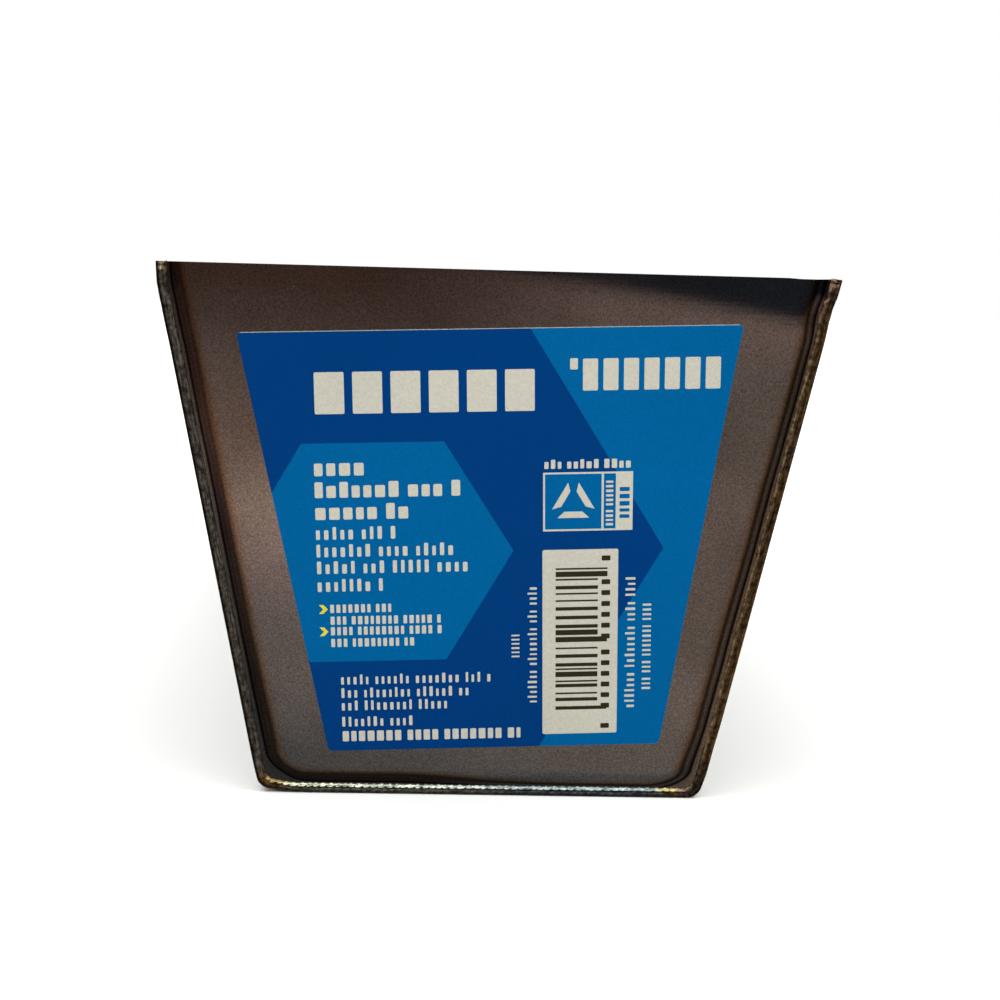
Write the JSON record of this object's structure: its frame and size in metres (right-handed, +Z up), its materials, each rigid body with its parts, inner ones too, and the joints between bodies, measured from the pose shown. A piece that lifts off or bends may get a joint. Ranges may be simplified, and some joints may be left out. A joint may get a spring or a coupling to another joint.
{
  "type": "mud pan",
  "caption": "Tapered stainless steel trough with a flat floor, leaning sides and welded leaning ends, for holding drywall joint compound.",
  "frame": {"origin": "middle of the flat underside, on the surface that the pan rests on", "axes": "+Z up out of the open top, +Y along the pan away from the end with the sticker, +X across the pan"},
  "size_m": [0.1054, 0.3396, 0.0858],
  "materials": {
    "stainless_sheet": "bright rolled stainless sheet, faintly brushed, heat-tinted beside the welds",
    "weld_metal": "rippled stainless weld bead with straw and brown heat tint",
    "label_paper": null
  },
  "bodies": {
    "root": {"body_sheet": "stainless_sheet", "end_cap_front": "stainless_sheet", "end_cap_rear": "stainless_sheet", "weld_front_left": "weld_metal", "weld_front_floor": "weld_metal", "weld_front_right": "weld_metal", "weld_rear_left": "weld_metal", "weld_rear_floor": "weld_metal", "weld_rear_right": "weld_metal", "label_sticker": "label_paper"}
  },
  "joints": []
}
